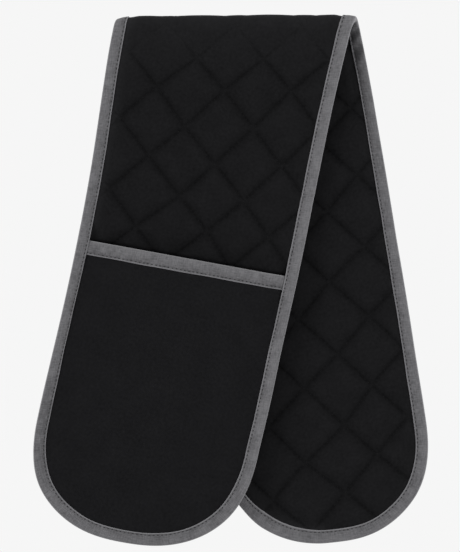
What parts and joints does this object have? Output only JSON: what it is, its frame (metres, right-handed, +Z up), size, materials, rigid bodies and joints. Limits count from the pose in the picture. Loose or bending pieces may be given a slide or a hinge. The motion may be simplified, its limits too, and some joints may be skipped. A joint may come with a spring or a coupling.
{
  "type": "oven glove",
  "caption": "Double oven glove: a long quilted strip with a hand pocket at each end, bound all round and folded over a rail.",
  "frame": {"origin": "middle of the fold, on the inside face of the cloth, where it lies on a rail", "axes": "+X along the fold to the right, -Y out of the front leg's pocket face, +Z up; both legs hang down -Z"},
  "size_m": [0.3203, 0.0554, 0.4313],
  "materials": {
    "black_cotton": "matt black woven cotton, diamond quilted",
    "pocket_cotton": "matt black woven cotton, plain",
    "pocket_lining": "matt black lining cotton",
    "grey_binding": "matt mid grey bias tape, stitched in dark thread",
    "wadding": "needled cotton wadding"
  },
  "bodies": {
    "crown": {"crown_outer_shell": "black_cotton", "crown_wadding": "wadding", "crown_inner_shell": "black_cotton", "crown_binding_left": "grey_binding", "crown_binding_right": "grey_binding"},
    "front_leg": {"front_outer_shell": "black_cotton", "front_wadding": "wadding", "front_inner_shell": "black_cotton", "front_pocket_lining": "pocket_lining", "front_pocket_wadding": "wadding", "front_pocket_shell": "pocket_cotton", "front_mouth_binding": "grey_binding", "front_edge_binding": "grey_binding"},
    "rear_leg": {"rear_outer_shell": "black_cotton", "rear_wadding": "wadding", "rear_inner_shell": "black_cotton", "rear_pocket_lining": "pocket_lining", "rear_pocket_wadding": "wadding", "rear_pocket_shell": "pocket_cotton", "rear_mouth_binding": "grey_binding", "rear_edge_binding": "grey_binding"}
  },
  "joints": [
    {"name": "front_leg_fold", "type": "hinge", "parent": "crown", "child": "front_leg", "pos_m": [0, -0.00721, 0.00131], "axis": [-1, 0, 0], "range_deg": [0, 90]},
    {"name": "rear_leg_fold", "type": "hinge", "parent": "crown", "child": "rear_leg", "pos_m": [0, 0.00721, 0.00131], "axis": [1, 0, 0], "range_deg": [0, 90]}
  ]
}
